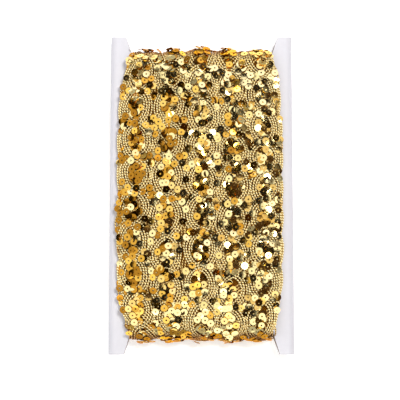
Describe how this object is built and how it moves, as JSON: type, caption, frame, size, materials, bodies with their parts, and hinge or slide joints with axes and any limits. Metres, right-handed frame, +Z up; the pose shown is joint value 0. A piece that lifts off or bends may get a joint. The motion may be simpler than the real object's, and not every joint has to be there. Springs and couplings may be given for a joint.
{
  "type": "roll of sequin trim on a card",
  "caption": "Gold scalloped sequin and cord trim wound in side-by-side laps round a white folded card with a notch at each end.",
  "frame": {"origin": "centre of the bounding box's base: under the middle of the card, on the surface that the winding's pressed back rests on", "axes": "+X across the card towards the right leg as seen from the front, +Y along the legs towards the top notch, +Z up, out of the front face"},
  "size_m": [0.132, 0.23, 0.0285],
  "materials": {
    "white_board": "matt white folded board",
    "gold_trim": "mirror-bright gold sequins and twisted metallic cord"
  },
  "bodies": {
    "root": {"card": "white_board", "winding": "gold_trim"}
  },
  "joints": []
}
